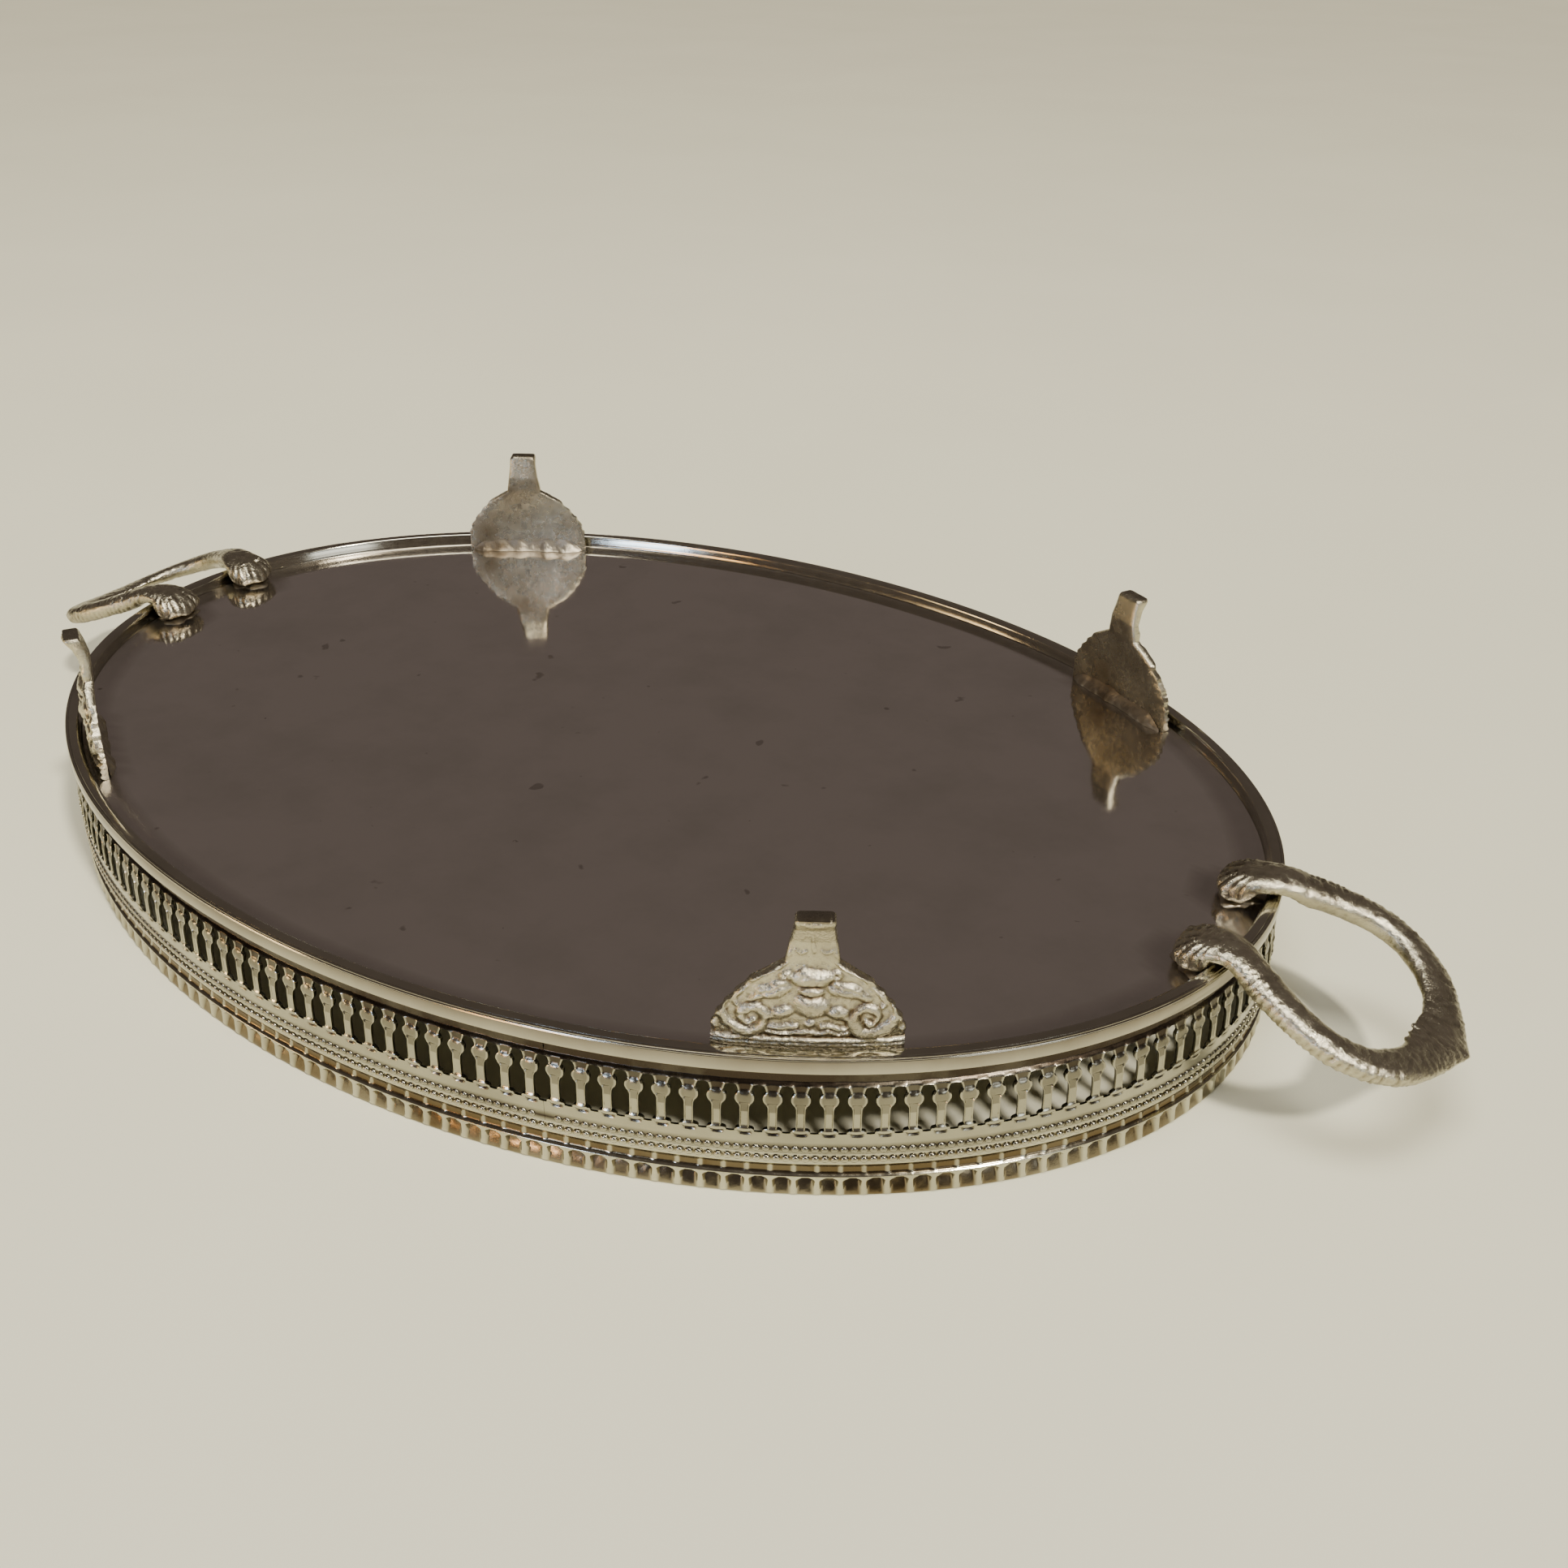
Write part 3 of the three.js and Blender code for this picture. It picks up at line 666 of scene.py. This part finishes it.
def foot_ornament(s, z, half):
    """Height of the cast ornament on a foot's outer face, `s` mm from its middle line and `z` mm up."""
    regular = np.stack([s, z, 0 * s], -1)
    edge = half - np.abs(s)
    warp = smooth_step(4.2, 5.5, z)
    s = s + 0.45 * warp * lumps(regular, 1.9, 51)
    z = z + 0.4 * warp * lumps(regular, 1.9, 52)
    leaves = (0.5 + 0.35 * np.sin(1.9 * z + 0.6 * np.abs(s))) * smooth_step(1.5, 0.5, edge)
    raised = leaves * smooth_step(4.6, 6.0, z) * (1 - smooth_step(21, 24, z))
    for level, tall, rise in FOOT_MOULDINGS:
        raised = np.maximum(raised, rise * np.clip(1 - ((z - level) / tall) ** 2, 0, 1) ** 0.5)
    for side in (-1, 1):
        t = side * s
        for stations, widths, rise in FOOT_RIDGES:
            raised = np.maximum(raised, ridge(t, z, stations, widths, rise))
        for middle, radii, rise, tilt in FOOT_LEAVES:
            raised = np.maximum(raised, mound(t, z, middle, radii, rise, tilt))
        socket = mound(t, z, (2.0, 25.8), (0.95, 0.75), 1.2)
        vein = ridge(t, z, [(3.6, 16.0), (6.6, 15.1), (9.3, 14.0)], [0.3, 0.3], 0.3)
        raised = raised - socket - vein
    base_rope = ridge(s, z, [(-7.8, 5.2), (0, 5.3), (7.8, 5.2)], [0.5, 0.5], 0.7, 60)
    raised = np.maximum(raised, base_rope)
    for middle, radii, rise in FOOT_BOSSES:
        raised = np.maximum(raised, mound(s, z, middle, radii, rise))
    # Grooves between the bosses, then a rough patch at the tip and a low ridge below it.
    for level, curve, reach in ((13.5, 0.04, 3), (15.6, -0.06, 3.6)):
        raised = raised - 0.5 * np.exp(-(((z - level - curve * s**2) / 0.3) ** 2)) * (np.abs(s) < reach)
    patch = mound(s, z, (0, 31.2), (3.0, 2.3), 0.5) * (1 - 0.5 * (lumps(regular, 0.45, 53) > 0))
    raised = np.maximum(raised, patch)
    raised = np.maximum(raised, ridge(s, z, [(0, 23.0), (0.1, 26.5)], [0.5, 0.3], 0.25))
    return FOOT_RELIEF * raised * (z < FOOT_HEIGHT - 0.1)


def foot(place_name):
    """One foot, a bent plate with ornament on its outer face, and the solder in the corner behind it."""
    along_x, side_y, sway = FOOT_PLACES[place_name]
    heights = np.arange(FOOT_ROW_STEP, FOOT_HEIGHT - 0.2, FOOT_ROW_STEP)
    heights = np.concatenate([FOOT_ROWS[:1, 0], heights, [FOOT_HEIGHT - 0.15, FOOT_HEIGHT]])
    half, inside, thick = (np.interp(heights, FOOT_ROWS[:, 0], FOOT_ROWS[:, k])[:, None] for k in (1, 2, 3))
    rounding = np.clip((heights - 30.3) / 1.1, 0, 1)[:, None] ** 2
    half = half * (1 - 0.09 * rounding)

    # The columns of the grid lie closer together towards the plate's two edges, which are a little wavy.
    even = np.linspace(1, -1, FOOT_COLUMNS)
    shares = 0.35 * np.sin(even * math.pi / 2) + 0.65 * even
    wavy = np.where(heights < 21, 0.25, 0.0)[:, None] * np.sin(heights * 2.4)[:, None]
    s = shares[None, :] * (half + wavy * smooth_step(4.5, 7, heights)[:, None])
    z = heights[:, None] + 0 * s
    ornament = foot_ornament(-s, z, half)
    surface = np.stack([s, z, z * 0 + along_x], -1)
    crease = 0.2 * (0.4 - np.abs(lumps(surface, 1.3, 5))) + 0.13 * lumps(surface, 0.5, 6)
    ornament = ornament + crease * np.where(heights < 20, 1.0, 0.35)[:, None]
    depth = -thick / 2 + 0.35 - ornament
    depth = depth + 0.5 * np.abs(shares[None, :]) ** 14 + 0.3 * rounding
    back = thick / 2 - 0.1 + 0.05 * lumps(surface, 2.4, 8) + 0.04 * lumps(surface, 0.6, 18)
    back = back - 0.5 * np.abs(shares[None, :]) ** 10 - 0.4 * rounding

    angle = math.acos(along_x / HALF_LENGTH) * side_y
    origin = np.array([along_x, HALF_WIDTH * math.sin(angle), FLOOR_HEIGHT])
    outward = np.array([math.cos(angle) / HALF_LENGTH, math.sin(angle) / HALF_WIDTH, 0])
    outward /= np.linalg.norm(outward)
    sideways = np.array([outward[1], -outward[0], 0])
    upward = np.array([0, 0, 1])

    def placed(x, y, height):
        """Points x mm along the foot, y mm outwards and `height` mm above the floor."""
        return origin + x[..., None] * sideways + y[..., None] * outward + height[..., None] * upward

    leaning = s + sway * z / FOOT_HEIGHT
    front, rear = (placed(leaning, -inside - offset - s**2 / (2 * FOOT_BEND), z) for offset in (depth, back))
    points, faces = plate(front, rear)
    hollow = hollow_share(ornament, 6, 0.38)
    # The top face of the tip gets painted shade, standing for a dark reflection.
    hollow = np.maximum(hollow, 0.55 * (heights[:, None] > FOOT_HEIGHT - 0.2))
    behind = 0.3 + 0.25 * lumps(surface, 7, 9)
    shades = np.concatenate([hollow.ravel(), np.clip(behind, 0, 1).ravel()])
    add_piece("foot_" + place_name + "_cast", points, faces, shades, [CAST], "cast_plate",
              "foot_" + place_name, crease=60)

    # A rough fillet of solder in the corner behind the foot.
    along = np.linspace(SOLDER_HALF, -SOLDER_HALF, 90)[:, None]
    climb = np.linspace(0, 1, 10)[None, :]
    size = 2.0 + 0.35 * lumps(np.stack([along, along * 0, along * 0 + along_x], -1), 3.0, 21)
    size = size * np.clip((SOLDER_HALF + 0.05 - np.abs(along)) / 5, 0.01, 1) ** 0.7
    fall = (1 - climb) ** 1.2
    lift = climb**1.2
    x = along + 0 * climb
    start = FOOT_ROWS[0, 2] + FOOT_ROWS[0, 3] / 2 + 0.02
    y = -start - size * fall - x**2 / (2 * FOOT_BEND)
    height = 0.05 + 1.6 * size * lift
    skin = np.stack([x, y, height + along_x], -1)
    height = height + 0.22 * lumps(skin, 1.1, 22) * (fall * lift > 0)
    wedge = placed(x, y, height)
    core = placed(x, -start - x**2 / (2 * FOOT_BEND), np.full(x.shape, 0.04))
    points, faces = plate(wedge.transpose(1, 0, 2), core.transpose(1, 0, 2))
    shades = np.clip(0.3 + 0.5 * lumps(points, 2.5, 23), 0, 1)
    add_piece("foot_" + place_name + "_seam", points, faces, shades, [SOLDER], "solder",
              "foot_solder_" + place_name, crease=60)


# ---- cast handles ----
SHELL_ASIDE = 14.5  # where the two shells of a handle stand on the floor
SHELL_INSIDE = 9.0
SHELL_HUB_ASIDE, SHELL_HUB_INSIDE = 14.8, 4.5  # where a shell's ribs meet
SHELL_RIB_ANGLE = math.radians(14)
# Distance beyond the oval's end, distance to the side, height of the middle above the floor (None where the
# arm slopes down outside the rim), half width and half thickness.
HANDLE_STATIONS = [
    (-14.2, 14.5, 1.9, 3.2, 0.9), (-12.4, 14.5, 3.2, 5.8, 2.2), (-8.6, 14.5, 4.3, 6.5, 3.3),
    (-4.6, 14.9, 6.0, 5.5, 2.2), (0.4, 16.6, 5.7, 4.4, 2.1), (5.0, 18.6, None, 4.2, 2.6),
    (10.0, 20.9, None, 4.0, 2.6), (16.0, 22.9, None, 3.7, 2.6), (22.4, 23.7, None, 3.6, 2.6),
    (28.4, 22.3, None, 3.7, 2.4), (34.0, 18.4, None, 4.0, 2.15), (38.6, 12.4, None, 4.5, 1.75),
    (41.2, 6.0, None, 5.3, 1.4),
]
LEAF_TIP = (41.9, 0.0, None, 6.2, 1.2)
HANDLE_SIDES = 56
HANDLE_STEPS = 13
SOLDER_RINGS, SOLDER_SIDES = 9, 48


def station_place(station, side):
    """Middle of the handle at a station, on the side of the tray that `side` gives."""
    out, aside, rest = station[:3]
    if rest is not None:
        return (HALF_LENGTH + out, side * aside, FLOOR_HEIGHT + rest)
    fall = out * math.sin(HANDLE_SLOPE)
    return (HALF_LENGTH + out * math.cos(HANDLE_SLOPE), side * aside, HANDLE_HEIGHT - fall)


def handle(name, turned):
    """A loop with a shell at each end and a leaf at its middle, made for the right end of the tray and turned
    by half a turn for the left one, with the solder under its shells."""
    ordered = [(station, 1) for station in HANDLE_STATIONS] + [(LEAF_TIP, 0)]
    ordered += [(station, -1) for station in reversed(HANDLE_STATIONS)]
    centre = catmull([station_place(*pair) for pair in ordered], HANDLE_STEPS)
    size = catmull([station[3:] for station, _ in ordered], HANDLE_STEPS)
    along = np.gradient(centre, axis=0)
    along /= np.linalg.norm(along, axis=1, keepdims=True)
    beyond = smooth_step(HALF_LENGTH - 6, HALF_LENGTH + 4, centre[:, 0])[:, None]
    up = (1 - beyond) * np.array([0, 0, 1.0]) + beyond * np.array(
        [math.sin(HANDLE_SLOPE), 0, math.cos(HANDLE_SLOPE)]
    )
    across = np.cross(along, up)
    across /= np.linalg.norm(across, axis=1, keepdims=True)
    up = np.cross(across, along)
    travel = np.concatenate([[0], np.cumsum(np.linalg.norm(np.diff(centre, axis=0), axis=1))])

    # Round off the two shell ends.
    from_end = np.minimum(travel, travel[-1] - travel)
    round_end = np.clip(from_end / 2.2, 0, 1) ** 0.5
    half = size[:, 0] * np.maximum(round_end, 0.05)
    thick = size[:, 1] * np.maximum(round_end, 0.1)

    turn = np.arange(HANDLE_SIDES) / HANDLE_SIDES * 2 * math.pi
    cos, sin = np.cos(turn), np.sin(turn)
    squarish = 2 / 2.5
    section_across = np.sign(cos) * np.abs(cos) ** squarish
    section_up = np.sign(sin) * np.abs(sin) ** squarish
    # The shells have flatter and wider lower halves, which the solder meets.
    shell = smooth_step(HALF_LENGTH - 4, HALF_LENGTH - 8, centre[:, 0])[:, None]
    flat_below = np.where(sin < 0, np.sign(cos) * np.abs(cos) ** 0.25, section_across)
    wide = half[:, None] * (section_across * (1 - shell) + flat_below * shell)
    tall = thick[:, None] * section_up[None, :]

    # The leaf at the middle: a sharp point outwards and small teeth inwards.
    aside = np.abs(centre[:, 1])
    near_leaf = np.clip(1 - aside / 15, 0, 1)
    point_out = 1 - 0.2 * np.clip(aside / 3.5, 0, 1) * (1 - smooth_step(9, 18, aside))
    outwards = wide < 0
    wide = np.where(outwards, wide * point_out[:, None], wide)
    toothed = smooth_step(0, 2, -centre[:, 1]) * smooth_step(12, 9, -centre[:, 1])
    teeth = (0.3 + 0.8 * np.mod(-centre[:, 1] / 3.1, 1)) * toothed
    wide = np.where(outwards, wide, wide + teeth[:, None] * np.clip(section_across, 0, 1)[None, :] ** 3)
    tall = tall * (1 - 0.45 * near_leaf[:, None] * np.abs(section_across)[None, :] ** 2)

    points = centre[:, None] + across[:, None] * wide[..., None] + up[:, None] * tall[..., None]
    normal = across[:, None] * (wide / half[:, None] ** 2)[..., None]
    normal = normal + up[:, None] * (tall / thick[:, None] ** 2)[..., None]
    normal /= np.linalg.norm(normal, axis=-1, keepdims=True)

    # Bark-like diagonal cuts on the outer side of the arms, ribs that fan out over the shells, rough skin.
    arm = smooth_step(HALF_LENGTH - 2, HALF_LENGTH + 3, centre[:, 0])[:, None]
    outer_side = smooth_step(-0.15, -0.75, section_across)[None, :] * (1 - near_leaf[:, None] ** 2)
    cuts = np.sin(travel[:, None] * 4.2 + 2.4 * section_up[None, :] + 2.6 * lumps(points, 3.2, 31))
    bark = 0.2 * cuts * arm * outer_side * (0.55 + 0.45 * lumps(points, 4.0, 35))
    hub_y = np.where(centre[:, 1] > 0, SHELL_HUB_ASIDE, -SHELL_HUB_ASIDE)[:, None]
    dx, dy = points[..., 0] - (HALF_LENGTH - SHELL_HUB_INSIDE), points[..., 1] - hub_y
    fan = np.arctan2(dy, -dx)
    spread = np.hypot(dx, dy)
    on_shell = smooth_step(HALF_LENGTH - 5, HALF_LENGTH - 8, points[..., 0]) * smooth_step(3.0, 6.0, spread)
    ribs = 0.5 * (np.abs(np.cos(fan * math.pi / SHELL_RIB_ANGLE)) - 0.64) * on_shell
    ribs = ribs * (section_up > -0.5)[None, :] * round_end[:, None]
    skin = 0.12 * lumps(points, 1.3, 32) + 0.10 * lumps(points, 0.55, 33)
    skin = skin * np.maximum(round_end[:, None], 0.1)
    pitted = -0.22 * np.clip(lumps(points, 1.0, 34) - 0.45, 0, 1) * (near_leaf[:, None] > 0)
    relief = bark + ribs + skin + pitted
    points = points + normal * relief[..., None]

    # Place the loop, and keep it inside the CAD's own box.
    points[..., 1] += HANDLE_DRIFT[name]
    if turned:
        points[..., :2] *= -1
    sign = -1 if turned else 1
    reach = cad_high.x / MM - 0.02
    points[..., 0] = sign * np.minimum(sign * points[..., 0], reach)

    points, faces, caps = closed_tube(points, [points[0].mean(0), points[-1].mean(0)])
    hollow = hollow_share(relief, 8, 0.35)
    # Painted shade on the underside of the loop and on its two end caps.
    under = 0.35 * np.clip(-section_up, 0, 1)[None, :] + 0 * hollow
    shades = np.concatenate([np.maximum(hollow, under).ravel(), [0.3, 0.3]])
    add_piece("handle_" + name + "_cast", points, faces, shades, [CAST], "cast_plate", "handle_" + name,
              crease=60, triangles=caps)

    # A low uneven mound of solder under each shell.
    for letter, side in (("a", -1), ("b", 1)):
        share = np.linspace(1, 0.06, SOLDER_RINGS)[:, None]
        turn = (np.arange(SOLDER_SIDES) / SOLDER_SIDES * 2 * math.pi)[None, :]
        reach = 1 + 0.16 * np.sin(3 * turn + side) + 0.08 * np.sin(7 * turn + 2 * side)
        x = HALF_LENGTH - SHELL_INSIDE + 4.9 * reach * share * np.cos(turn)
        y = side * SHELL_ASIDE + 5.6 * reach * share * np.sin(turn) + HANDLE_DRIFT[name]
        z = FLOOR_HEIGHT + 0.08 + 1.3 * (1 - share**2.2) + 0 * turn
        top = np.stack([x, y, z], -1)
        top[..., 2] += 0.07 * lumps(top, 1.3, 41) * (share < 1)
        if turned:
            top[..., :2] *= -1
        base = top[0].copy()
        base[:, 2] = FLOOR_HEIGHT + 0.04
        points, faces, caps = closed_tube(np.concatenate([base[None], top]), [base.mean(0), top[-1].mean(0)])
        shades = np.clip(0.3 + 0.5 * lumps(points, 2.0, 42), 0, 1)
        add_piece(f"handle_{name}_seam_{letter}", points, faces, shades, [SOLDER], "solder",
                  f"handle_solder_{name}_{letter}", crease=60, triangles=caps)


pan()
gallery_strip("gallery_right", SEAM_SLOT, "gallery_strip_right")
gallery_strip("gallery_left", SEAM_SLOT + SLOT_COUNT // 2, "gallery_strip_left")
border("border_back_fluted", 0.0, "border_back")
border("border_front_fluted", 0.5, "border_front")
for place_name in FOOT_PLACES:
    foot(place_name)
handle("right", False)
handle("left", True)


# ---- floor, light and camera ----
def table_top():
    material = bpy.data.materials.new("pale_table")
    material.use_nodes = True
    tree = material.node_tree
    shader = tree.nodes["Principled BSDF"]
    shader.inputs["Roughness"].default_value = 0.9
    place = add_node(tree, "TexCoord").outputs["Object"]
    cloudy = remap(tree, noise(tree, place, 6, 3), 0.3, 0.7, 0, 1)
    tree.links.new(mixed_colour(tree, cloudy, (0.84, 0.82, 0.625, 1), (0.87, 0.85, 0.65, 1)),
                   shader.inputs["Base Color"])
    bpy.ops.mesh.primitive_plane_add(size=14, location=(0, 0, 0))
    top = bpy.context.object
    top.name = "table_top"
    top.data.materials.append(material)


def add_light(name, kind, place, target, power, colour):
    lamp = bpy.data.lights.new(name, kind)
    lamp.energy = power
    lamp.color = colour
    made = bpy.data.objects.new(name, lamp)
    bpy.context.scene.collection.objects.link(made)
    forward = (Vector(target) - Vector(place)).normalized()
    made.location = place
    made.rotation_euler = forward.to_track_quat("-Z", "Y").to_euler()
    return lamp


def softbox(name, place, target, width, depth, power, colour):
    lamp = add_light(name, "AREA", place, target, power, colour)
    lamp.shape = "RECTANGLE"
    lamp.size, lamp.size_y = width, depth


table_top()
sun = add_light("key", "SUN", (0.62, -0.26, 0.78), (0, 0, 0), 3.0, (1.0, 0.93, 0.82))
sun.angle = math.radians(5)
softbox("above", (0.1, -0.35, 1.6), (0.0, 0.0, 0.0), 0.9, 0.6, 17, (1.0, 0.97, 0.9))
softbox("window", (1.22, -0.57, 0.36), (0.13, -0.06, 0.02), 0.5, 0.3, 1.8, (0.86, 0.93, 1.0))
softbox("warm_left", (-0.94, -1.0, 0.15), (0.0, -0.11, 0.02), 0.30, 0.20, 2.4, (1.0, 0.72, 0.4))
softbox("warm_low", (-0.20, -1.49, 0.22), (0.05, -0.11, 0.0), 0.40, 0.12, 2.4, (1.0, 0.55, 0.2))
softbox("cool_low", (-0.07, -1.50, 0.42), (0.05, -0.11, 0.02), 0.26, 0.34, 5.0, (0.5, 0.68, 1.0))

world = bpy.data.worlds.new("dark_room")
world.use_nodes = True
world.node_tree.nodes["Background"].inputs["Color"].default_value = (0.125, 0.102, 0.09, 1)
world.node_tree.nodes["Background"].inputs["Strength"].default_value = 1.0
bpy.context.scene.world = world

CAMERA_PLACE = Vector((215.05, -285.78, 229.35)) * MM
CAMERA_TARGET = Vector((19.67, 43.41, 0.0)) * MM
CAMERA_ROLL = math.radians(0.65)
CAMERA_LENS = 36.07

camera = bpy.data.cameras.new("camera")
camera.sensor_width = 36.0
camera.lens = CAMERA_LENS
camera.clip_start = 0.01
camera.clip_end = 50.0
camera_object = bpy.data.objects.new("camera", camera)
bpy.context.scene.collection.objects.link(camera_object)
forward = (CAMERA_TARGET - CAMERA_PLACE).normalized()
level = forward.cross(Vector((0, 0, 1))).normalized()
upright = level.cross(forward)
right = level * math.cos(CAMERA_ROLL) + upright * math.sin(CAMERA_ROLL)
above = upright * math.cos(CAMERA_ROLL) - level * math.sin(CAMERA_ROLL)
turned_axes = Matrix((right, above, -forward)).transposed()
camera_object.matrix_world = Matrix.Translation(CAMERA_PLACE) @ turned_axes.to_4x4()
bpy.context.scene.camera = camera_object
